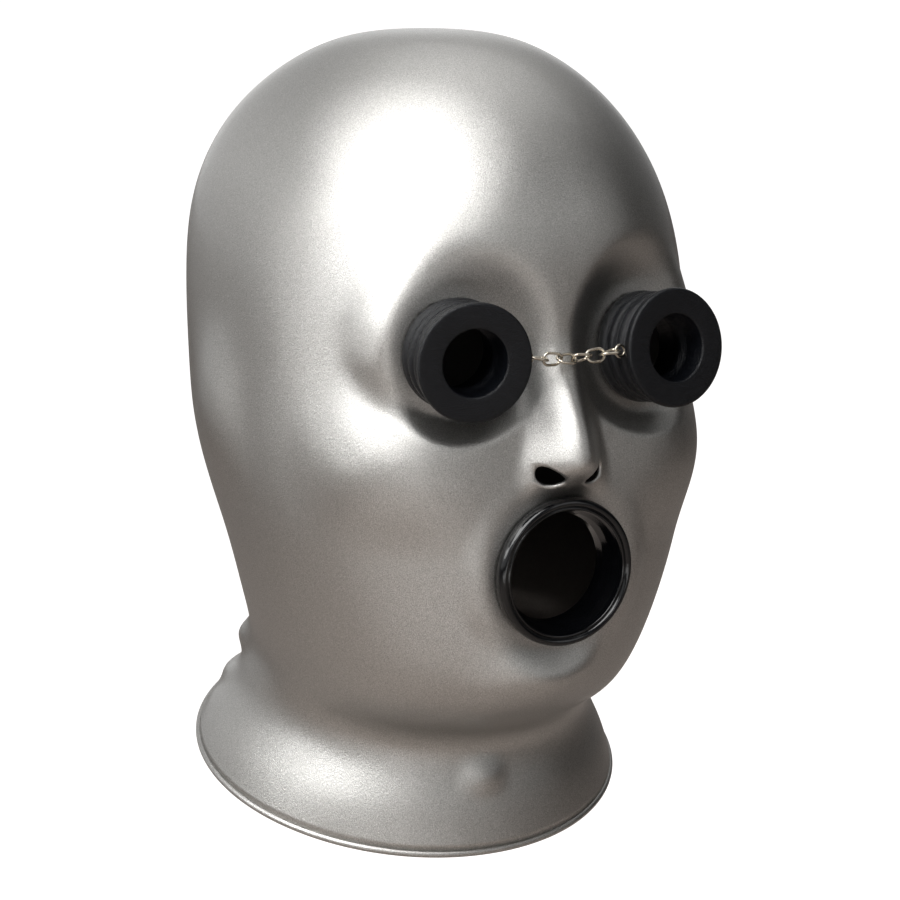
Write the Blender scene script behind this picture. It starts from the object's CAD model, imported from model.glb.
# %% [markdown]
# # A silver latex hood
#
# The object is a close-fitting hood of silver latex, worn over a whole head. Two black rubber spools
# are gripped by the latex in front of the eyes, a short chain hangs between them, and a glossy ring
# holds the mouth hole open. This lesson builds each piece as a surface worked out with numpy, gives
# it a procedural finish, and sets it in a plain studio.
#
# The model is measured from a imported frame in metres, so a piece goes where the frame says.

import bpy
import numpy as np
from mathutils import Matrix, Vector


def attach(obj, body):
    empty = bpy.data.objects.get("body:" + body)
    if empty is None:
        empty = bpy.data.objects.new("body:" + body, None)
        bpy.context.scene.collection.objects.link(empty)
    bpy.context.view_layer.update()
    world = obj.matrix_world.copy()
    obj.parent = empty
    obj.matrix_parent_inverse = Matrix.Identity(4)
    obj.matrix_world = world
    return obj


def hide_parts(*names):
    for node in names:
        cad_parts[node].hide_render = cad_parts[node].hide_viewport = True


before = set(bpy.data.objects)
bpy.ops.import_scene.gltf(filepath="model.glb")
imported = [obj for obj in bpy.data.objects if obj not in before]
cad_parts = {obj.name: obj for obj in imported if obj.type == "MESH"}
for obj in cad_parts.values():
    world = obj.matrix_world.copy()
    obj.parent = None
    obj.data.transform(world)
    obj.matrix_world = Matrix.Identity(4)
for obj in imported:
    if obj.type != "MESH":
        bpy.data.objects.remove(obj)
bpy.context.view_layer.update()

# %% [markdown]
# ## The camera
#
# The camera comes first, because everything is judged through it. It looks at the hood from its front
# right and a little above the eyepieces, far away, with a long lens, as for a catalogue. The lens
# follows from the distance and from how many pixels a metre takes at the head.

# %% Place the camera
MM = 0.001
IMAGE_PX = 900
PX_PER_METRE = 2870  # at the middle of the head
CAMERA_DISTANCE = 1.5
CAMERA_AZIMUTH = np.radians(-29)
CAMERA_HEIGHT_ANGLE = np.radians(8)
SENSOR_MM = 36
LOOK_SIDEWAYS = 7.6 * MM
LOOK_DROP = 145 * MM

towards_camera = Vector((
    np.sin(CAMERA_AZIMUTH) * np.cos(CAMERA_HEIGHT_ANGLE),
    -np.cos(CAMERA_AZIMUTH) * np.cos(CAMERA_HEIGHT_ANGLE),
    np.sin(CAMERA_HEIGHT_ANGLE),
))
camera_right = Vector((np.cos(CAMERA_AZIMUTH), np.sin(CAMERA_AZIMUTH), 0))
camera_up = towards_camera.cross(camera_right)
look_at = camera_right * LOOK_SIDEWAYS - Vector((0, 0, LOOK_DROP))

camera_data = bpy.data.cameras.new("studio camera")
camera_data.sensor_width = SENSOR_MM
camera_data.lens = PX_PER_METRE * CAMERA_DISTANCE * SENSOR_MM / IMAGE_PX
camera_data.clip_end = 200
camera = bpy.data.objects.new("studio camera", camera_data)
bpy.context.scene.collection.objects.link(camera)
camera.matrix_world = Matrix.Translation(look_at + towards_camera * CAMERA_DISTANCE) @ Matrix(
    (camera_right, camera_up, towards_camera)
).transposed().to_4x4()
bpy.context.scene.camera = camera
print("the lens is", round(camera_data.lens), "mm")

# %% [markdown]
# ## The form of the hood
#
# Latex takes the form of the head under it, so the hood is a stack of superellipses. Each section has
# its own drop below the crown and its own reach in front and behind, and a cubic B-spline runs smoothly
# past the sections. A lofted surface like this is easier to steer than a sculpted one: one row moves
# one part of the head. On top of it come soft rises, the nose, rolls of slack latex at the nape and the
# flat seats on which the rubber pieces sit.

# %% Name the driving sizes
HOOD_HEIGHT = 277 * MM
HEAD_LENGTH = 200 * MM
HEAD_BREADTH = 158 * MM
LATEX_WALL = 1.2 * MM
HEM_BEAD = 2.4 * MM
FIT_GAP = 0.3 * MM

NOSE_BRIDGE_DROP = 104 * MM
NOSE_BASE_DROP = 146 * MM
NOSE_RISE = 15 * MM
NOSE_HALF_WIDTH = 19 * MM
NOSE_TIP = 0.75  # share of the way from bridge to base
NOSE_UNDERSIDE = 0.38  # the share that the latex takes to come back to the lip

EYE_SPREAD = 35.4 * MM
EYE_DROP = 101.3 * MM
EYE_UNEVEN = 0.9 * MM
EYE_SEAT_REACH = 82 * MM
EYE_TOE_OUT = 7.9
RIGHT_EYE_PITCH = 4
LEFT_EYE_PITCH = -3.7
SEAT_MARGIN = 1 * MM  # the flat of a seat is this much wider than the piece on it
EYE_BLEND = 14.5 * MM
EYE_BLEND_LIFT = 0.35  # above a seat the blend is this share wider, and below it this share narrower
EYEPIECE_RADIUS = 20 * MM
EYEPIECE_LENGTH = 20 * MM
EYEPIECE_BORE = 11.2 * MM
EYEPIECE_NECK = 15.5 * MM
EYEPIECE_FLANGE = 2.6 * MM
EYEPIECE_INNER_RADIUS = 18.4 * MM

MOUTH_DROP = 173.9 * MM
MOUTH_SEAT_REACH = 90.6 * MM
MOUTH_PITCH = 5
MOUTH_BLEND = 11 * MM
MOUTH_RADIUS = 25.2 * MM
MOUTH_RISE = 5.8 * MM
MOUTH_DEPTH = 8 * MM
MOUTH_EDGE = 22 * MM
MOUTH_BORE = 18.6 * MM
MOUTH_NECK = 20.9 * MM
MOUTH_FLANGE = 2.4 * MM
MOUTH_INNER_RADIUS = 23.6 * MM

# %% List the sections, rises and folds
# Drops are shares of HOOD_HEIGHT, reaches of HEAD_LENGTH, half widths of HEAD_BREADTH; turns are degrees.
# The power of the superellipse is 2 for an ellipse, and more where the temples are fuller.
# name, front drop, front reach, back drop, back reach, half width, turn, power
SECTIONS = [
    ("crown", 0, 0, 0, 0, 0, 0, 2),
    ("top", 0.004, 0.195, 0.004, 0.195, 0.2, 0, 2),
    ("hairline", 0.085, 0.365, 0.085, 0.385, 0.39, 0, 2.1),
    ("forehead", 0.195, 0.465, 0.195, 0.48, 0.478, 0, 2.2),
    ("brow", 0.305, 0.472, 0.305, 0.448, 0.5, 0, 2.35),
    ("eyes", 0.395, 0.455, 0.395, 0.412, 0.5, 0, 2.5),
    ("cheeks", 0.49, 0.465, 0.48, 0.398, 0.507, 0, 2.4),
    ("nose base", 0.58, 0.475, 0.55, 0.36, 0.495, 0, 2.25),
    ("mouth", 0.66, 0.465, 0.61, 0.325, 0.47, 0, 2.1),
    ("chin", 0.76, 0.45, 0.675, 0.355, 0.425, 3, 2),
    ("under chin", 0.82, 0.41, 0.735, 0.372, 0.382, 6, 2),
    ("throat", 0.85, 0.25, 0.76, 0.345, 0.386, 8, 2),
    ("neck", 0.897, 0.24, 0.786, 0.358, 0.396, 10, 2),
    ("flare", 0.942, 0.258, 0.805, 0.41, 0.438, 11, 2),
    ("hem", 1, 0.263, 0.82, 0.435, 0.463, 12, 2),
]
# name, azimuth and its span in degrees, drop and its span, rise as a share of HEAD_BREADTH
RISES = [
    ("right brow", -24, 26, 0.3, 0.07, -0.008),
    ("left brow", 24, 26, 0.3, 0.07, -0.008),
    ("right cheek", -40, 30, 0.5, 0.12, 0.034),
    ("left cheek", 40, 30, 0.5, 0.12, 0.034),
    ("chin", 0, 26, 0.76, 0.07, 0.03),
    ("right ear", -98, 18, 0.45, 0.13, 0.024),
    ("left ear", 98, 18, 0.45, 0.13, 0.024),
    ("throat", 5, 10, 0.905, 0.03, 0.015),
]
# name, drop and its span, rise, azimuths where the roll starts and is whole
FOLDS = [
    ("upper nape fold", 0.765, 0.031, 0.027, 98, 125),
    ("lower nape fold", 0.815, 0.024, 0.018, 98, 125),
]
LAST_SECTION = len(SECTIONS) - 1


def smooth(x):
    """Rise from 0 to 1 along 3x squared minus 2x cubed, and stay there."""
    x = np.clip(x, 0, 1)
    return x * x * (3 - 2 * x)


def bell(x):
    """1 in the middle, falling as a squared cosine to 0 at a distance of 1."""
    return np.where(np.abs(x) < 1, np.cos(np.pi / 2 * np.clip(x, -1, 1)) ** 2, 0)


# %% [markdown]
# ## Seats for the rubber pieces
#
# Each rubber piece sits on a flat of the latex. A seat is a point and an axis, and a small table of
# directions round them, so that a profile can be turned about the axis wherever the piece is.

# %% Set the seats
def seat_frame(x, drop, reach, toe_out, pitch, side):
    """A 4 by 4 matrix: Y along the axis out of the hood, X towards the side given, Z across both."""
    toe_out, pitch = np.radians([toe_out, pitch])
    axis = Vector((
        np.sin(toe_out) * np.cos(pitch),
        -np.cos(toe_out) * np.cos(pitch),
        -np.sin(pitch),
    ))
    sideways = Vector((side, 0, 0))
    sideways = (sideways - axis * sideways.dot(axis)).normalized()
    turned = Matrix((sideways, axis, sideways.cross(axis))).transposed().to_4x4()
    return np.array(Matrix.Translation((x, -reach, -drop)) @ turned)


RIGHT_EYE_DROP, LEFT_EYE_DROP = EYE_DROP - EYE_UNEVEN, EYE_DROP + EYE_UNEVEN
EYES = {
    "right": seat_frame(-EYE_SPREAD, RIGHT_EYE_DROP, EYE_SEAT_REACH, -EYE_TOE_OUT, RIGHT_EYE_PITCH, 1),
    "left": seat_frame(EYE_SPREAD, LEFT_EYE_DROP, EYE_SEAT_REACH, EYE_TOE_OUT, LEFT_EYE_PITCH, -1),
}
MOUTH = seat_frame(0, MOUTH_DROP, MOUTH_SEAT_REACH, 0, MOUTH_PITCH, 1)
# seat, radius of the flat, width of the blend round it, and its lift
SEATS = [
    (EYES["right"], EYEPIECE_RADIUS + SEAT_MARGIN, EYE_BLEND, EYE_BLEND_LIFT),
    (EYES["left"], EYEPIECE_RADIUS + SEAT_MARGIN, EYE_BLEND, EYE_BLEND_LIFT),
    (MOUTH, MOUTH_RADIUS + SEAT_MARGIN, MOUTH_BLEND, 0),
]
print("the eyepieces sit", round(2 * EYE_SPREAD / MM, 1), "mm apart")


# %% Work out the skin
def section_table():
    """The sections in metres, after a row mirrored through the crown and before one run on past the hem."""
    shares = np.array([row[1:] for row in SECTIONS], float)
    units = [HOOD_HEIGHT, HEAD_LENGTH, HOOD_HEIGHT, HEAD_LENGTH, HEAD_BREADTH, np.pi / 180, 1]
    rows = shares * np.array(units)
    front_drop, front_reach, back_drop, back_reach, half_width, turn, power = rows[1]
    mirrored = [back_drop, -back_reach, front_drop, -front_reach, -half_width, turn, power]
    return np.vstack([mirrored, rows, 2 * rows[-1] - rows[-2]])


def sections_at(place):
    """A uniform cubic B-spline of the section table at places from 0, the crown, to LAST_SECTION."""
    table = section_table()
    i = np.clip(np.floor(place).astype(int), 0, LAST_SECTION - 1)
    u = (place - i)[..., None]
    blended = (
        (1 - u) ** 3 * table[i]
        + (3 * u**3 - 6 * u**2 + 4) * table[i + 1]
        + (-3 * u**3 + 3 * u**2 + 3 * u + 1) * table[i + 2]
        + u**3 * table[i + 3]
    ) / 6
    return np.moveaxis(blended, -1, 0)


def rise_over(azimuth, z):
    """The sum of the rises and folds: each a bell in azimuth times a bell in drop."""
    degrees = np.degrees(np.arctan2(np.sin(azimuth), np.cos(azimuth)))
    share = -z / HOOD_HEIGHT
    rise = np.zeros_like(z)
    for _, middle, span, drop, drop_span, height in RISES:
        rise += height * bell((degrees - middle) / span) * bell((share - drop) / drop_span)
    for _, drop, drop_span, height, start, full in FOLDS:
        round_the_nape = smooth((np.abs(degrees) - start) / (full - start))
        rise += height * round_the_nape * bell((share - drop) / drop_span)
    return rise * HEAD_BREADTH


def nose_rise(x, drop):
    """A ridge that rises and widens from the bridge to the tip, then turns under to the base."""
    down = (drop - NOSE_BRIDGE_DROP) / (NOSE_BASE_DROP - NOSE_BRIDGE_DROP)
    ridge = np.where(down < NOSE_TIP, smooth(down + 1 - NOSE_TIP), bell((down - NOSE_TIP) / NOSE_UNDERSIDE))
    half_width = NOSE_HALF_WIDTH * (0.6 + 0.4 * smooth(down))
    return NOSE_RISE * ridge * bell(x / half_width)


def skin(place, azimuth):
    """The outside of the latex: the section's superellipse and the rises, drawn to the seats, and the nose.

    The fullness stretches a point of the circle: (cosine to the power + sine to the power) to minus 1 over
    the power. Within a seat's flat a point falls onto its plane, and in the blend it falls part of the way.
    """
    front_drop, front_reach, back_drop, back_reach, half_width, turn, power = sections_at(place)
    fullness = (np.abs(np.cos(azimuth)) ** power + np.abs(np.sin(azimuth)) ** power) ** (-1 / power)
    forward = fullness * np.cos(azimuth)
    across = half_width * fullness * np.sin(azimuth)
    along = -(front_reach + back_reach) / 2 * forward
    crown_shift = (SECTIONS[1][1] + SECTIONS[1][3]) * HOOD_HEIGHT / 6 + LATEX_WALL
    z = crown_shift - (front_drop + back_drop) / 2 - (front_drop - back_drop) / 2 * forward
    rise = rise_over(azimuth, z)
    x = across * np.cos(turn) + along * np.sin(turn) + rise * np.sin(azimuth)
    y = along * np.cos(turn) - across * np.sin(turn) - (front_reach - back_reach) / 2
    y = y - rise * np.cos(azimuth)
    point = np.stack([x, y, z], -1)
    front = np.cos(azimuth) >= 0
    for matrix, flat, blend, lift in SEATS:
        axis = matrix[:3, 1]
        offset = point - matrix[:3, 3]
        height = offset @ axis
        offset = offset - height[..., None] * axis
        radius = np.maximum(np.linalg.norm(offset, axis=-1), 1e-9)
        width = blend * (1 + lift * offset[..., 2] / radius)
        pull = np.where(front, height * (1 - smooth((radius - flat) / width)), 0)
        point = point - pull[..., None] * axis
    point[..., 1] -= np.where(front, nose_rise(point[..., 0], -point[..., 2]), 0)
    return point


def skin_normals(place, azimuth, step=1e-3):
    """The outward normal, from the cross product of small steps down and round the skin."""
    below, above = np.minimum(place + step, LAST_SECTION), np.maximum(place - step, 0)
    down = skin(below, azimuth) - skin(above, azimuth)
    round_ = skin(place, azimuth + step) - skin(place, azimuth - step)
    normal = np.cross(down, round_)
    return normal / np.linalg.norm(normal, axis=-1, keepdims=True)


# %% [markdown]
# ## Meshes from arrays
#
# Every surface below is a grid of points. Two helpers turn a grid into faces and put them into a mesh
# with foreach_set, which copies whole arrays at once and is far quicker than adding vertices one by
# one in Python.

# %% Write the mesh helpers
def add_mesh(name, points, quads, triangles=()):
    """A new object from an (n, 3) array of points, an (m, 4) one of quads and a (k, 3) one of triangles."""
    triangles = np.asarray(triangles, int).reshape(-1, 3)
    corners = np.concatenate([quads.ravel(), triangles.ravel()]).astype(np.int32)
    sizes = np.concatenate([np.full(len(quads), 4), np.full(len(triangles), 3)]).astype(np.int32)
    mesh = bpy.data.meshes.new(name)
    mesh.vertices.add(len(points))
    mesh.vertices.foreach_set("co", np.asarray(points, np.float32).ravel())
    mesh.loops.add(len(corners))
    mesh.loops.foreach_set("vertex_index", corners)
    mesh.polygons.add(len(sizes))
    mesh.polygons.foreach_set("loop_start", np.concatenate([[0], np.cumsum(sizes)[:-1]]).astype(np.int32))
    mesh.polygons.foreach_set("loop_total", sizes)
    mesh.update(calc_edges=True)
    mesh.shade_smooth()
    piece = bpy.data.objects.new(name, mesh)
    bpy.context.scene.collection.objects.link(piece)
    return piece


def grid_faces(rows, columns, close_rows=False):
    """Quads between neighbours of a grid whose columns close into a ring, and its rows too if asked."""
    row_steps = rows if close_rows else rows - 1
    row, column = np.meshgrid(np.arange(row_steps), np.arange(columns), indexing="ij")
    here = row * columns + column
    right = row * columns + (column + 1) % columns
    below = (row + 1) % rows * columns + column
    below_right = (row + 1) % rows * columns + (column + 1) % columns
    return np.stack([here, below, below_right, right], -1).reshape(-1, 4)


print("helpers ready")

# %% [markdown]
# ## The latex skin
#
# The skin is one sheet: a grid that runs down from the crown and round the head. Its rows are spaced by
# the length of the midline of the face, closer together over the nose and mouth, and its columns crowd
# towards the face, so small forms get small faces. A hole could be cut with a Boolean, but that leaves
# slivers that spoil the shine. Here the grid's own points slide along the surface to the rim of the hole,
# and the faces inside it are dropped. Solidify then gives the sheet its 1.2 mm wall.

# %% Set the grid and the holes
SKIN_ROWS = 205
SKIN_COLUMNS = 224
FACE_CROWDING = 0.45  # 0 spaces the columns evenly round the head, 1 crowds them all at the face

NOSTRIL_SPREAD = 8.6 * MM
NOSTRIL_DROP = 142.4 * MM
NOSTRIL_WIDTH = 9.8 * MM
NOSTRIL_HEIGHT = 7.4 * MM
NOSTRIL_REACH = MOUTH_SEAT_REACH + 0.6 * NOSE_RISE
NOSTRIL_TOE_OUT = 12
NOSTRIL_PITCH = 35
HOLE_DEPTH = 8 * MM  # a hole takes only latex this near to its middle along its axis


def nostril_frame(side):
    """The seat of the nostril hole on one side, -1 for the right and 1 for the left."""
    spread, toe_out = side * NOSTRIL_SPREAD, side * NOSTRIL_TOE_OUT
    return seat_frame(spread, NOSTRIL_DROP, NOSTRIL_REACH, toe_out, NOSTRIL_PITCH, 1)


# seat, half width and half height of each hole
HOLES = [
    (EYES["right"], EYEPIECE_NECK + FIT_GAP, EYEPIECE_NECK + FIT_GAP),
    (EYES["left"], EYEPIECE_NECK + FIT_GAP, EYEPIECE_NECK + FIT_GAP),
    (MOUTH, MOUTH_NECK + FIT_GAP, MOUTH_NECK + FIT_GAP),
    (nostril_frame(-1), NOSTRIL_WIDTH / 2, NOSTRIL_HEIGHT / 2),
    (nostril_frame(1), NOSTRIL_WIDTH / 2, NOSTRIL_HEIGHT / 2),
]
FAR = 9  # stands for any reach well outside a hole


def hole_reach(place, azimuth):
    """The least distance to a hole's middle in its own half sizes: under 1 inside it and 1 on its rim."""
    point = skin(place, azimuth)
    reaches = []
    for matrix, half_width, half_height in HOLES:
        local = (point - matrix[:3, 3]) @ matrix[:3, :3]
        reach = np.hypot(local[..., 0] / half_width, local[..., 2] / half_height)
        reaches.append(np.where(np.abs(local[..., 1]) < HOLE_DEPTH, reach, FAR))
    return np.min(reaches, axis=0)


def slide_to_rim(place, azimuth, steps=6, nudge=1e-4):
    """Newton steps on the skin that bring points to a reach of 1, each along the steepest way there."""
    for _ in range(steps):
        miss = hole_reach(place, azimuth) - 1
        by_place = (hole_reach(place + nudge, azimuth) - hole_reach(place - nudge, azimuth)) / (2 * nudge)
        by_azimuth = (hole_reach(place, azimuth + nudge) - hole_reach(place, azimuth - nudge)) / (2 * nudge)
        place_scale = np.linalg.norm(skin(place + nudge, azimuth) - skin(place, azimuth), axis=-1) / nudge
        azimuth_scale = np.linalg.norm(skin(place, azimuth + nudge) - skin(place, azimuth), axis=-1) / nudge
        slope = (by_place / place_scale) ** 2 + (by_azimuth / azimuth_scale) ** 2
        place = place - miss * by_place / place_scale**2 / slope
        azimuth = azimuth - miss * by_azimuth / azimuth_scale**2 / slope
    return place, azimuth


# %% Make the skin
BROW_DROP, CHIN_DROP, DROP_EASE = 85 * MM, 190 * MM, 20 * MM


def skin_rows(count):
    """Places spaced by the length of the midline, with the stretch from brow to chin counted double."""
    fine = np.linspace(0, LAST_SECTION, 4000)
    midline = skin(fine, np.zeros_like(fine))
    length = np.linalg.norm(np.diff(midline, axis=0), axis=-1)
    drop = -midline[1:, 2]
    past_brow = smooth((drop - BROW_DROP) / DROP_EASE)
    past_chin = smooth((drop - CHIN_DROP) / DROP_EASE)
    length *= 1 + past_brow * (1 - past_chin)
    travelled = np.concatenate([[0], np.cumsum(length)])
    return np.interp(np.linspace(0, travelled[-1], count), travelled, fine)


turn = np.linspace(0, 2 * np.pi, SKIN_COLUMNS, endpoint=False)
columns = turn - FACE_CROWDING * np.sin(turn)
place, azimuth = np.meshgrid(skin_rows(SKIN_ROWS)[1:], columns, indexing="ij")
rows = place.shape[0]
place, azimuth = place.ravel(), azimuth.ravel()
quads = grid_faces(rows, SKIN_COLUMNS)
reach = hole_reach(place, azimuth)
quads = quads[reach[quads].mean(axis=1) > 1]
used, times = np.unique(quads, return_counts=True)
inner_rows = (used >= SKIN_COLUMNS) & (used < (rows - 1) * SKIN_COLUMNS)
rim = used[(times < 4) & inner_rows]
place[rim], azimuth[rim] = slide_to_rim(place[rim], azimuth[rim])
points = np.vstack([skin(place, azimuth), skin(np.array([0.0]), np.array([0.0]))])
pole = len(points) - 1
first_row = np.arange(SKIN_COLUMNS)
cap = np.stack([np.full(SKIN_COLUMNS, pole), first_row, (first_row + 1) % SKIN_COLUMNS], -1)

used = np.union1d(used, cap)  # the points inside the holes have no faces left, so they go
renumber = np.zeros(len(points), int)
renumber[used] = np.arange(len(used))
hood_skin = add_mesh("hood_skin", points[used], renumber[quads], renumber[cap])

wall = hood_skin.modifiers.new("latex wall", "SOLIDIFY")
wall.thickness = LATEX_WALL
wall.offset = -1
wall.use_even_offset = False
print("the skin has", len(quads), "quads, and", len(rim), "points slid to the rims of the holes")

# %% [markdown]
# ## The rolled hem
#
# A latex neck ends in a bead, where the sheet was rolled on itself before it set. It is a thin round
# tube that follows the last row of the skin. A tube is swept here from a line of middles and two
# directions across it, which is all that a round cross section needs.

# %% Roll the hem
def sweep(middles, side, up, radius, sides=12):
    """Rings round a line: its middle, plus the radius times the cosine along side and the sine along up."""
    angle = np.linspace(0, 2 * np.pi, sides, endpoint=False)[None, :, None]
    radius = np.broadcast_to(radius, len(middles))[:, None, None]
    return middles[:, None] + radius * (np.cos(angle) * side[:, None] + np.sin(angle) * up[:, None])


HEM_STEPS, HEM_SIDES = 256, 14
hem_azimuth = np.linspace(0, 2 * np.pi, HEM_STEPS, endpoint=False)
hem_place = np.full_like(hem_azimuth, LAST_SECTION)
hem_out = skin_normals(hem_place, hem_azimuth)
hem_down = skin(hem_place, hem_azimuth) - skin(hem_place - 1e-3, hem_azimuth)
hem_down /= np.linalg.norm(hem_down, axis=-1, keepdims=True)
hem_middle = skin(hem_place, hem_azimuth) - hem_out * LATEX_WALL / 2 + hem_down * HEM_BEAD / 2
hem_rings = sweep(hem_middle, hem_down, hem_out, HEM_BEAD / 2, HEM_SIDES)
hem_faces = grid_faces(HEM_STEPS, HEM_SIDES, close_rows=True)
hem_bead = add_mesh("hem_bead", hem_rings.reshape(-1, 3), hem_faces)
hem_length = np.linalg.norm(hem_middle - np.roll(hem_middle, 1, axis=0), axis=1).sum()
print("the hem is", round(float(hem_length) / MM), "mm round")

# %% [markdown]
# ## The rubber spools
#
# Each eyepiece is a moulded spool: a front flange, a groove for the chain, two soft ribs and a groove that
# the latex snaps into. A spool could be spun from a curve, but the same thing is quick in numpy: a half
# section in radius and height is rounded at its corners and turned about the seat's axis. A little
# unevenness in the turn keeps it soft, as moulded rubber is.

# %% Turn the eyepieces
def rounded(profile, cut, steps=5):
    """Each corner of a closed outline becomes a quadratic curve that starts at most the cut before it."""
    corner = np.array(profile, float)
    before = np.roll(corner, 1, axis=0) - corner
    after = np.roll(corner, -1, axis=0) - corner
    before_length = np.linalg.norm(before, axis=1, keepdims=True)
    after_length = np.linalg.norm(after, axis=1, keepdims=True)
    start = corner + before / before_length * np.minimum(cut, 0.42 * before_length)
    end = corner + after / after_length * np.minimum(cut, 0.42 * after_length)
    t = np.linspace(0, 1, steps)[None, :, None]
    curve = (1 - t) ** 2 * start[:, None] + 2 * t * (1 - t) * corner[:, None] + t**2 * end[:, None]
    return curve.reshape(-1, 2)


SWELL_LENGTH, WAVE_LENGTH, WAVE_HEIGHT = 3 * MM, 4 * MM, 6 * MM  # of the unevenness, before its share


def lathe(name, profile, matrix, steps, unevenness=0.0):
    """Turn a half section about the seat's Y axis: radius times cosine along X and times sine along Z."""
    angle = np.linspace(0, 2 * np.pi, steps, endpoint=False)
    radius, height = profile[:, :1], profile[:, 1:]
    radius = radius * (1 + unevenness * np.sin(2 * angle + 1) * np.sin(height / SWELL_LENGTH))
    height = height + unevenness * WAVE_HEIGHT * np.sin(angle * 3 + height / WAVE_LENGTH)
    local = np.stack([radius * np.cos(angle), height + 0 * angle, radius * np.sin(angle)], -1)
    world = local.reshape(-1, 3) @ matrix[:3, :3].T + matrix[:3, 3]
    return add_mesh(name, world, grid_faces(len(profile), steps, close_rows=True))


GROOVE_BACK = -LATEX_WALL - FIT_GAP
CHAIN_GROOVE = 0.86 * EYEPIECE_RADIUS
CHAIN_GROOVE_HEIGHT = 0.73 * EYEPIECE_LENGTH
SPOOL_ROUNDING = 0.9 * MM
SPOOL_STEPS = 128
SPOOL_UNEVENNESS = 0.008
# up the outside: radius as a share of EYEPIECE_RADIUS, height over the latex one of EYEPIECE_LENGTH
SPOOL_OUTSIDE = [
    (0.91, 0.015), (0.945, 0.12), (0.91, 0.225), (0.825, 0.265), (0.93, 0.315), (0.93, 0.435),
    (0.83, 0.485), (0.92, 0.535), (0.91, 0.645), (0.86, 0.685), (0.86, 0.775), (0.97, 0.815),
    (1, 0.955), (0.975, 1),
]
SPOOL_BACK = GROOVE_BACK - EYEPIECE_FLANGE
BORE_STEP = 0.06 * EYEPIECE_BORE
SPOOL_SECTION = np.vstack([
    [(EYEPIECE_BORE + BORE_STEP, SPOOL_BACK), (EYEPIECE_INNER_RADIUS, SPOOL_BACK)],
    [(EYEPIECE_INNER_RADIUS, GROOVE_BACK), (EYEPIECE_NECK, GROOVE_BACK), (EYEPIECE_NECK, FIT_GAP)],
    np.array(SPOOL_OUTSIDE) * [EYEPIECE_RADIUS, EYEPIECE_LENGTH],
    [(EYEPIECE_BORE, EYEPIECE_LENGTH)],
    [(EYEPIECE_BORE, 0.6 * EYEPIECE_LENGTH), (EYEPIECE_BORE - 2 * BORE_STEP, 0.45 * EYEPIECE_LENGTH)],
    [(EYEPIECE_BORE + BORE_STEP, 0.2 * EYEPIECE_LENGTH)],
])
spool_profile = rounded(SPOOL_SECTION, SPOOL_ROUNDING)
right_eyepiece = lathe("right_eyepiece", spool_profile, EYES["right"], SPOOL_STEPS, SPOOL_UNEVENNESS)
left_eyepiece = lathe("left_eyepiece", spool_profile, EYES["left"], SPOOL_STEPS, SPOOL_UNEVENNESS)
print("each eyepiece has", len(right_eyepiece.data.polygons), "faces")

# %% [markdown]
# ## The mouth ring
#
# The ring is the glossiest piece: a fat round lip with a fine bead on its inside, which catches a bright
# line all the way round, and a tube that narrows into the hood. The corner radius is small, so that the
# bead stays crisp while the lip's curve comes from its own points.

# %% Turn the mouth ring
LIP = MOUTH_RADIUS - MOUTH_EDGE
# the lip's angles run from under its outer side, over its top, to the bead, and the bead's on to the tube
lip_angle = np.radians(np.linspace(-62, 140, 24))
lip_curve = np.stack([
    MOUTH_RADIUS - 0.5 * LIP + 0.5 * LIP * np.cos(lip_angle),
    0.52 * MOUTH_RISE + 0.48 * MOUTH_RISE * np.sin(lip_angle),
], -1)
BEAD_RADIUS = 0.5 * MM
bead_angle = np.radians(np.linspace(40, 230, 12))
bead_curve = np.stack([
    MOUTH_EDGE - 0.2 * MM + BEAD_RADIUS * np.cos(bead_angle),
    0.8 * MOUTH_RISE + BEAD_RADIUS * np.sin(bead_angle),
], -1)
tube_section = np.array([
    (MOUTH_EDGE - 1 * MM, 0.5 * MOUTH_RISE),
    (MOUTH_BORE + 1 * MM, 0),
    (MOUTH_BORE, -0.4 * MOUTH_DEPTH),
    (MOUTH_BORE, -MOUTH_DEPTH),
    (MOUTH_NECK - 0.6 * MM, -MOUTH_DEPTH),
    (MOUTH_NECK, GROOVE_BACK - MOUTH_FLANGE),
    (MOUTH_INNER_RADIUS, GROOVE_BACK - MOUTH_FLANGE),
    (MOUTH_INNER_RADIUS, GROOVE_BACK),
    (MOUTH_NECK, GROOVE_BACK),
    (MOUTH_NECK, FIT_GAP),
])
RING_ROUNDING = 0.35 * MM
RING_STEPS = 160
ring_profile = rounded(np.vstack([lip_curve, bead_curve, tube_section]), RING_ROUNDING)
lip_ring = lathe("lip_ring", ring_profile, MOUTH, RING_STEPS)
print("the mouth ring stands", MOUTH_RISE / MM, "mm off the latex")

# %% [markdown]
# ## The chain
#
# Six oval links hang between two small screw eyes. A link is a round wire carried along a stadium, two
# half circles joined by straights, and then twisted a little about its length as a curb chain is. The
# places of the links follow from the span, as on a real chain: each hooks through the next.

# %% Set the chain
LINK_COUNT = 6
LINK_WIRE = 1 * MM
LINK_WIDTH = 5.2 * MM
CHAIN_SAG = 1.2 * MM
CHAIN_TWIST = np.radians(108)  # from one link to the next
LINK_STEPS, LINK_SIDES = 56, 12
LINK_CURL = np.radians(14)  # twist of a link from its middle to its end
ANCHOR_EYE = 1.9 * MM
ANCHOR_SHANK = 3.5 * MM
SHANK_WIRE = 1.2 * MM
ANCHOR_CENTRE = CHAIN_GROOVE + FIT_GAP + LINK_WIRE / 2 + ANCHOR_EYE


def placed(points, matrix):
    """Points in a piece's own frame, taken to the hood's frame."""
    return points @ matrix[:3, :3].T + matrix[:3, 3]


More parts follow.
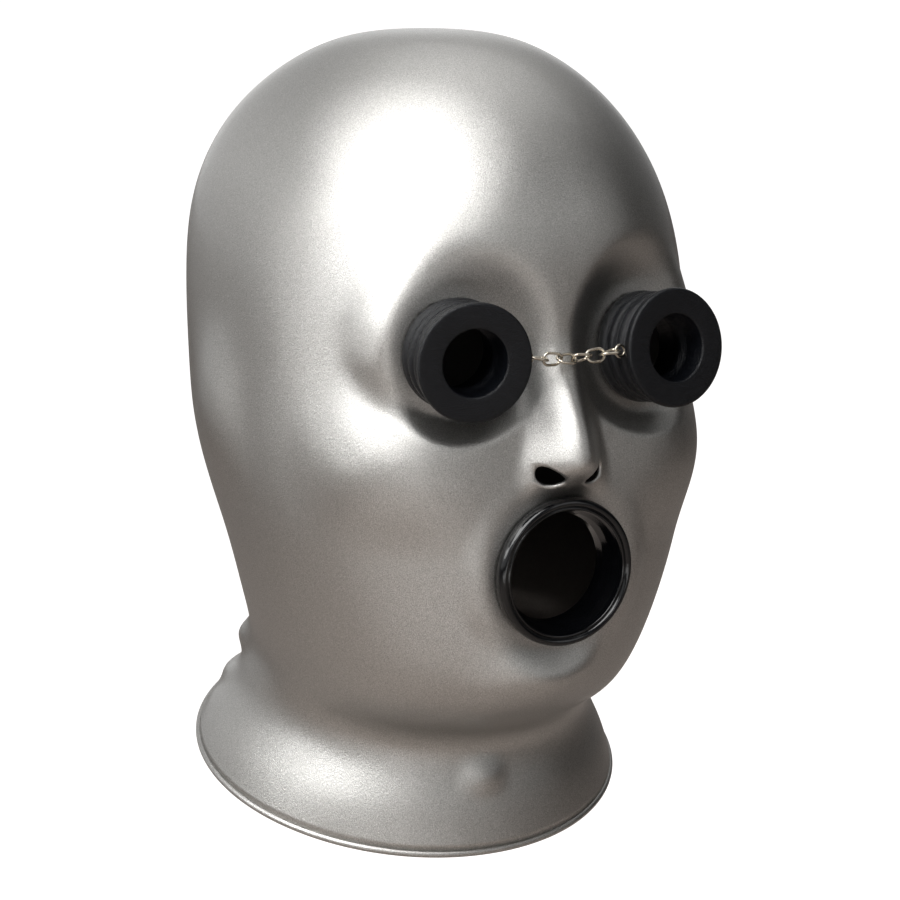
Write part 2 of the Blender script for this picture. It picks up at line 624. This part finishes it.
def link_points(length):
    """A wire round a stadium in the XY plane, turned about X in proportion to X."""
    ring = (LINK_WIDTH - LINK_WIRE) / 2
    straight = length - LINK_WIDTH
    lap = 2 * straight + 2 * np.pi * ring
    s = np.linspace(0, lap, LINK_STEPS, endpoint=False)
    # in turn: the half circle at the right end, the straight back, the left end, the straight on
    bend = np.clip(s / ring, 0, np.pi) + np.clip((s - np.pi * ring - straight) / ring, 0, np.pi)
    back = np.clip(s - np.pi * ring, 0, straight) - np.clip(s - 2 * np.pi * ring - straight, 0, straight)
    out = np.stack([np.sin(bend), -np.cos(bend), 0 * bend], -1)
    middles = out * ring + np.stack([straight / 2 - back, 0 * back, 0 * back], -1)
    up = np.broadcast_to([0.0, 0.0, 1.0], out.shape)
    wire = sweep(middles, out, up, LINK_WIRE / 2, LINK_SIDES).reshape(-1, 3)
    curl = LINK_CURL * wire[:, 0] / (length / 2)
    x, y, z = wire.T
    return np.stack([x, y * np.cos(curl) - z * np.sin(curl), y * np.sin(curl) + z * np.cos(curl)], -1)


# %% Make the links
loop_end = np.array([[ANCHOR_CENTRE + ANCHOR_EYE, CHAIN_GROOVE_HEIGHT, 0]])
chain_start = placed(loop_end, EYES["right"])[0]
chain_end = placed(loop_end, EYES["left"])[0]
span = np.linalg.norm(chain_end - chain_start)
hook = LINK_WIRE + FIT_GAP
link_reach = (span + hook) / LINK_COUNT + hook


def chain_point(distance):
    """A point along the chain: the straight line between its ends, less a parabola for the sag."""
    sag = 4 * CHAIN_SAG * distance * (span - distance) / span**2
    return chain_start + (chain_end - chain_start) * distance / span - np.array([0, 0, sag])


def link_frame(number):
    """X runs along the link, Z is as near upright as can be, and each link rolls on from the one before."""
    start = number * (link_reach - hook) - hook
    near, far = chain_point(start), chain_point(start + link_reach)
    x = Vector(far - near).normalized()
    z = (Vector((0, 0, 1)) - x * x.z).normalized()
    turned = Matrix((x, z.cross(x), z)).transposed().to_4x4()
    middle = Matrix.Translation((near + far) / 2)
    return np.array(middle @ turned @ Matrix.Rotation(CHAIN_TWIST * number, 4, "X"))


link_shape = link_points(link_reach + LINK_WIRE)
link_faces = grid_faces(LINK_STEPS, LINK_SIDES, close_rows=True)
links = [
    add_mesh("link_%d" % (number + 1), placed(link_shape, link_frame(number)), link_faces)
    for number in range(LINK_COUNT)
]
print(LINK_COUNT, "links, each", round((link_reach + LINK_WIRE) / MM, 1), "mm long")

# %% Make the screw eyes
EYE_STEPS, PIN_RINGS = 40, 12


def anchor(name, matrix):
    """A ring of wire round the seat's Y axis, and a round-ended pin along X that goes into the rubber."""
    angle = np.linspace(0, 2 * np.pi, EYE_STEPS, endpoint=False)
    out = np.stack([np.cos(angle), 0 * angle, np.sin(angle)], -1)
    up = np.broadcast_to([0.0, 1.0, 0.0], out.shape)
    centre = np.array([ANCHOR_CENTRE, CHAIN_GROOVE_HEIGHT, 0])
    ring = sweep(centre + out * ANCHOR_EYE, -out, up, LINK_WIRE / 2).reshape(-1, 3)
    tip, end = CHAIN_GROOVE - ANCHOR_SHANK, ANCHOR_CENTRE - ANCHOR_EYE
    straight = np.linspace(tip + 0.3 * MM, end - 0.1 * MM, PIN_RINGS - 2)
    along = np.concatenate([[tip], straight, [end]])
    width = np.concatenate([[0.35], np.ones(PIN_RINGS - 2), [0.6]]) * SHANK_WIRE / 2
    middles = np.stack([along, 0 * along + CHAIN_GROOVE_HEIGHT, 0 * along], -1)
    side = np.broadcast_to([0.0, 1.0, 0.0], middles.shape)
    across = np.broadcast_to([0.0, 0.0, 1.0], middles.shape)
    pin = sweep(middles, side, across, width)
    ends = pin[[0, -1]].mean(axis=1)
    pin = pin.reshape(-1, 3)
    pin_faces = grid_faces(PIN_RINGS, LINK_SIDES)[:, ::-1] + len(ring)
    near_end, far_end = len(ring) + len(pin), len(ring) + len(pin) + 1
    first = len(ring) + np.arange(LINK_SIDES)
    last = first + (PIN_RINGS - 1) * LINK_SIDES
    caps = np.vstack([
        np.stack([np.full(LINK_SIDES, near_end), np.roll(first, -1), first], -1),
        np.stack([np.full(LINK_SIDES, far_end), last, np.roll(last, -1)], -1),
    ])
    faces = np.vstack([grid_faces(EYE_STEPS, LINK_SIDES, close_rows=True), pin_faces])
    return add_mesh(name, placed(np.vstack([ring, pin, ends]), matrix), faces, caps)


right_anchor = anchor("right_anchor", EYES["right"])
left_anchor = anchor("left_anchor", EYES["left"])
print("the chain spans", round(span / MM, 1), "mm")

# %% [markdown]
# ## Finishes
#
# Each finish is a Principled shader whose colour, roughness and normal vary over the surface. One effect
# is shared by all of them, so it is a node group: a fine grain, with larger clouds in it. The group reads
# Object coordinates, which are metres here, so a scale of 1000 gives grains a millimetre apart.

# %% Build the shared node group
def add_node(tree, kind, values=None, **settings):
    """A node of the kind given, with its settings and the values of its input sockets."""
    node = tree.nodes.new(kind)
    for key, value in settings.items():
        setattr(node, key, value)
    for key, value in (values or {}).items():
        node.inputs[key].default_value = value
    return node


def new_group(name, inputs, outputs):
    """An empty shader node group with float inputs and outputs, and its two end nodes."""
    group = bpy.data.node_groups.new(name, "ShaderNodeTree")
    for socket, value in inputs.items():
        added = group.interface.new_socket(socket, in_out="INPUT", socket_type="NodeSocketFloat")
        added.default_value = value
    for socket, kind in outputs.items():
        group.interface.new_socket(socket, in_out="OUTPUT", socket_type=kind)
    return group, group.nodes.new("NodeGroupInput"), group.nodes.new("NodeGroupOutput")


def build_grain():
    """Fine noise, stretched about its middle by the contrast, for flakes, and coarse noise for clouds."""
    group, given, result = new_group(
        "grain",
        {"Grains per metre": 1500, "Clouds per metre": 40, "Contrast": 1},
        {"Flakes": "NodeSocketFloat", "Clouds": "NodeSocketFloat"},
    )
    link = group.links.new
    coordinates = add_node(group, "ShaderNodeTexCoord")
    fine = add_node(group, "ShaderNodeTexNoise", {"Detail": 3, "Roughness": 0.7})
    coarse = add_node(group, "ShaderNodeTexNoise", {"Detail": 4, "Roughness": 0.55})
    link(coordinates.outputs["Object"], fine.inputs["Vector"])
    link(coordinates.outputs["Object"], coarse.inputs["Vector"])
    link(given.outputs["Grains per metre"], fine.inputs["Scale"])
    link(given.outputs["Clouds per metre"], coarse.inputs["Scale"])
    centred = add_node(group, "ShaderNodeMath", {1: 0.5}, operation="SUBTRACT")
    stretched = add_node(group, "ShaderNodeMath", operation="MULTIPLY")
    back = add_node(group, "ShaderNodeMath", {1: 0.5}, operation="ADD", use_clamp=True)
    link(fine.outputs["Fac"], centred.inputs[0])
    link(centred.outputs[0], stretched.inputs[0])
    link(given.outputs["Contrast"], stretched.inputs[1])
    link(stretched.outputs[0], back.inputs[0])
    link(back.outputs[0], result.inputs["Flakes"])
    link(coarse.outputs["Fac"], result.inputs["Clouds"])
    return group


GRAIN = build_grain()
print("made the group", GRAIN.name)


# %% [markdown]
# ## Silver latex
#
# The latex is pearl grey, not mirror bright. Metallic flakes lie in a clear rubber, so it shines in a
# broad satin with a crisper gloss on top. A coat over a rougher metallic base gives both. The flakes show
# as a fine speckle, above all at the edge of a highlight, and the rubber's skin is never quite flat, so
# a very low bump breaks the edge of the reflections.

# %% Make the silver latex
def new_material(name):
    """A material with its tree and its Principled shader."""
    material = bpy.data.materials.new(name)
    material.use_nodes = True
    tree = material.node_tree
    return material, tree, tree.nodes["Principled BSDF"]


def add_grain(tree, per_metre, clouds, contrast):
    """The grain group in a material, with its own values."""
    node = tree.nodes.new("ShaderNodeGroup")
    node.node_tree = GRAIN
    node.inputs["Grains per metre"].default_value = per_metre
    node.inputs["Clouds per metre"].default_value = clouds
    node.inputs["Contrast"].default_value = contrast
    return node


def add_ramp(tree, source, stops):
    """A colour ramp fed by a socket, with (position, colour) stops."""
    ramp = tree.nodes.new("ShaderNodeValToRGB")
    ramp.color_ramp.elements[0].position, ramp.color_ramp.elements[0].color = stops[0]
    ramp.color_ramp.elements[1].position, ramp.color_ramp.elements[1].color = stops[-1]
    for position, colour in stops[1:-1]:
        ramp.color_ramp.elements.new(position).color = colour
    tree.links.new(source, ramp.inputs["Fac"])
    return ramp


def set_roughness(tree, shader, source, low, high):
    """A value from 0 to 1, stretched to run from low to high, for the roughness."""
    node = add_node(tree, "ShaderNodeMapRange", {"To Min": low, "To Max": high})
    tree.links.new(source, node.inputs["Value"])
    tree.links.new(node.outputs["Result"], shader.inputs["Roughness"])


def add_bump(tree, shader, source, strength, distance):
    """Bumps whose height is the source times the distance, for the normal."""
    node = add_node(tree, "ShaderNodeBump", {"Strength": strength, "Distance": distance})
    tree.links.new(source, node.inputs["Height"])
    tree.links.new(node.outputs["Normal"], shader.inputs["Normal"])


silver_latex, tree, shader = new_material("silver latex")
grain = add_grain(tree, 2600, 22, 2.4)
flakes = add_ramp(tree, grain.outputs["Flakes"], [
    (0.0, (0.29, 0.283, 0.268, 1)), (0.5, (0.45, 0.442, 0.424, 1)), (1.0, (0.64, 0.63, 0.61, 1)),
])
tree.links.new(flakes.outputs["Color"], shader.inputs["Base Color"])
set_roughness(tree, shader, grain.outputs["Clouds"], 0.27, 0.33)
shader.inputs["Metallic"].default_value = 0.95
shader.inputs["Coat Weight"].default_value = 0.35
shader.inputs["Coat Roughness"].default_value = 0.16
shader.inputs["Coat IOR"].default_value = 1.5
add_bump(tree, shader, grain.outputs["Flakes"], 0.25, 0.0004)

# %% [markdown]
# The inside of the hood is the same latex, dulled and darkened by talc and wear. Only its colour and its
# roughness differ, so it is a second, simpler material that Solidify gives to the inner wall.

# %% Make the inside of the latex
latex_inside, tree, shader = new_material("latex inside")
grain = add_grain(tree, 1200, 30, 1.5)
talc = add_ramp(tree, grain.outputs["Clouds"], [
    (0.3, (0.012, 0.011, 0.01, 1)), (0.75, (0.03, 0.028, 0.026, 1)),
])
tree.links.new(talc.outputs["Color"], shader.inputs["Base Color"])
set_roughness(tree, shader, grain.outputs["Flakes"], 0.55, 0.8)

# %% [markdown]
# ## Black rubber, gloss rubber and steel
#
# The eyepieces are dull moulded rubber with a dusty bloom and a faint sheen. The mouth ring is the same
# rubber polished. The chain is nickel plated: bright, a little warm, with the small dents of cheap chain.

# %% Make the black rubber
black_rubber, tree, shader = new_material("black rubber")
grain = add_grain(tree, 1600, 60, 2)
bloom = add_ramp(tree, grain.outputs["Flakes"], [
    (0.25, (0.0015, 0.0017, 0.0022, 1)), (1.0, (0.007, 0.008, 0.011, 1)),
])
tree.links.new(bloom.outputs["Color"], shader.inputs["Base Color"])
set_roughness(tree, shader, grain.outputs["Clouds"], 0.15, 0.26)
shader.inputs["Specular IOR Level"].default_value = 0.28
add_bump(tree, shader, grain.outputs["Flakes"], 0.5, 0.0004)

# %% Make the gloss rubber
gloss_rubber, tree, shader = new_material("gloss rubber")
grain = add_grain(tree, 900, 50, 1.2)
depth = add_ramp(tree, grain.outputs["Clouds"], [
    (0.3, (0.001, 0.0011, 0.0014, 1)), (0.8, (0.003, 0.0033, 0.0042, 1)),
])
tree.links.new(depth.outputs["Color"], shader.inputs["Base Color"])
set_roughness(tree, shader, grain.outputs["Clouds"], 0.06, 0.13)
add_bump(tree, shader, grain.outputs["Flakes"], 0.08, 0.0004)

# %% Make the bright steel
bright_steel, tree, shader = new_material("bright steel")
grain = add_grain(tree, 2500, 300, 1.5)
plating = add_ramp(tree, grain.outputs["Clouds"], [
    (0.3, (0.3, 0.26, 0.2, 1)), (0.7, (0.66, 0.61, 0.52, 1)),
])
tree.links.new(plating.outputs["Color"], shader.inputs["Base Color"])
set_roughness(tree, shader, grain.outputs["Flakes"], 0.14, 0.32)
shader.inputs["Metallic"].default_value = 1.0
add_bump(tree, shader, grain.outputs["Clouds"], 0.5, 0.0003)
print("five finishes ready")

# %% [markdown]
# ## Hand the pieces over
#
# Each piece gets its finish, rides on the one body of the model, and hides the plainer solid it stands for.

# %% Dress the model
def hand_over(piece, material, slot, *nodes):
    """Give a piece its material, its body, its slot and the nodes it replaces."""
    piece.data.materials.clear()
    piece.data.materials.append(material)
    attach(piece, "root")
    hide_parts(*nodes)


hand_over(hood_skin, silver_latex, "silver_latex", "hood_shell")
hood_skin.data.materials.append(latex_inside)
hood_skin.modifiers["latex wall"].material_offset = 1
hand_over(hem_bead, silver_latex, "silver_latex", "hood_shell")
hand_over(right_eyepiece, black_rubber, "black_rubber", "eyepiece_right")
hand_over(left_eyepiece, black_rubber, "black_rubber", "eyepiece_left")
hand_over(lip_ring, gloss_rubber, "gloss_rubber", "mouth_ring")
hand_over(right_anchor, bright_steel, "bright_steel", "chain_anchor_right")
hand_over(left_anchor, bright_steel, "bright_steel", "chain_anchor_left")
for number, piece in enumerate(links, 1):
    hand_over(piece, bright_steel, "bright_steel", "chain_link_%d" % number)
print(len(links) + 7, "pieces handed over")

# %% [markdown]
# ## The studio
#
# A shiny thing is lit by what it reflects, so each light here stands where a bright patch of the latex
# looks. One large soft box in front, to the left and above, makes the patch on the forehead, and weaker
# ones fill the cheeks, the crown and the right of the forehead. They stand near the hood, so the light
# falls off towards the neck. White paper fills the background and brightens the edges of the head, and
# the world is a plain room: brighter to the left, dim to the right.

# %% Lay the floor
FLOOR_DROP = 0.42
FLOOR_SIZE = 80
floor_corners = np.array([[-1, -1, 0], [1, -1, 0], [1, 1, 0], [-1, 1, 0]]) * FLOOR_SIZE / 2
floor = add_mesh("floor", floor_corners + [0, 0, -FLOOR_DROP], np.array([[0, 1, 2, 3]]))
paper, tree, shader = new_material("white paper")
shader.inputs["Base Color"].default_value = (0.3, 0.26, 0.235, 1)
shader.inputs["Roughness"].default_value = 0.9
shader.inputs["Emission Color"].default_value = (1, 1, 1, 1)
seen = tree.nodes.new("ShaderNodeLightPath")
tree.links.new(seen.outputs["Is Camera Ray"], shader.inputs["Emission Strength"])
floor.data.materials.append(paper)
print("the floor is", FLOOR_DROP, "m under the crown")


# %% Hang the lights
def softbox(name, sideways, upwards, distance, width, height, radiance):
    """An area light at angles from the camera's direction, aimed at the hood.

    Its power is its radiance times pi times its area, so a light keeps its brightness when it is resized.
    """
    sideways, upwards = np.radians([sideways, upwards])
    direction = (
        camera_right * np.sin(sideways) * np.cos(upwards)
        + camera_up * np.sin(upwards)
        + towards_camera * np.cos(sideways) * np.cos(upwards)
    )
    data = bpy.data.lights.new(name, "AREA")
    data.shape = "RECTANGLE"
    data.size, data.size_y = width, height
    data.energy = radiance * np.pi * width * height
    lamp = bpy.data.objects.new(name, data)
    bpy.context.scene.collection.objects.link(lamp)
    across = direction.cross(camera_up).normalized() * -1
    turned = Matrix((across, direction.cross(across), direction)).transposed().to_4x4()
    lamp.matrix_world = Matrix.Translation(look_at + direction * distance) @ turned
    return lamp


# name, angles sideways and upwards, distance, width and height, radiance
softbox("key light", -27, 42, 0.9, 0.74, 0.82, 6.5)
softbox("left strip light", -58, 11, 0.5, 0.24, 0.1, 5.5)
softbox("cheek light", 6, 5, 0.7, 0.42, 0.12, 1.3)
softbox("low front light", -10, -38, 0.8, 1.3, 0.56, 1.9)
softbox("right front light", 55, 22, 1.0, 0.5, 0.8, 0.85)
softbox("ceiling light", 150, 78, 1.4, 1.3, 1.3, 0.9)
print("six lights hung")

# %% Fill the room
world = bpy.data.worlds.new("studio")
bpy.context.scene.world = world
world.use_nodes = True
tree = world.node_tree
background = tree.nodes["Background"]
coordinates = tree.nodes.new("ShaderNodeTexCoord")


def world_ramp(direction, stops):
    """Grey levels by how far a direction of the world points the way given, from -1 to 1."""
    dot = add_node(tree, "ShaderNodeVectorMath", {1: tuple(direction)}, operation="DOT_PRODUCT")
    tree.links.new(coordinates.outputs["Generated"], dot.inputs[0])
    half = add_node(tree, "ShaderNodeMath", {1: 0.5, 2: 0.5}, operation="MULTIPLY_ADD")
    tree.links.new(dot.outputs["Value"], half.inputs[0])
    greys = [((place + 1) / 2, (grey, grey, grey, 1)) for place, grey in stops]
    return add_ramp(tree, half.outputs[0], greys).outputs["Color"]


def world_math(operation, first, second):
    """Two grey levels put together."""
    node = add_node(tree, "ShaderNodeMath", operation=operation)
    tree.links.new(first, node.inputs[0])
    tree.links.new(second, node.inputs[1])
    return node.outputs[0]


sides = world_ramp(camera_right, [
    (-1, 0.85), (-0.3, 0.55), (0.2, 0.3), (0.55, 0.14), (0.8, 0.03), (1, 0.03),
])
ceiling = world_ramp((0, 0, 1), [(-1, 0.5), (0.1, 1), (0.5, 0.8), (1, 0.55)])
behind = world_ramp(towards_camera, [(-1, 1), (-0.93, 0.9), (-0.8, 0), (1, 0)])
backdrop = world_ramp(camera_right, [(-1, 1), (0.12, 1), (0.3, 0.25), (1, 0.15)])
room = world_math("MULTIPLY", sides, ceiling)
paper_light = world_math("MULTIPLY", behind, backdrop)
tree.links.new(world_math("MAXIMUM", room, paper_light), background.inputs["Color"])
bpy.context.scene.view_settings.view_transform = "Standard"
print("studio ready")
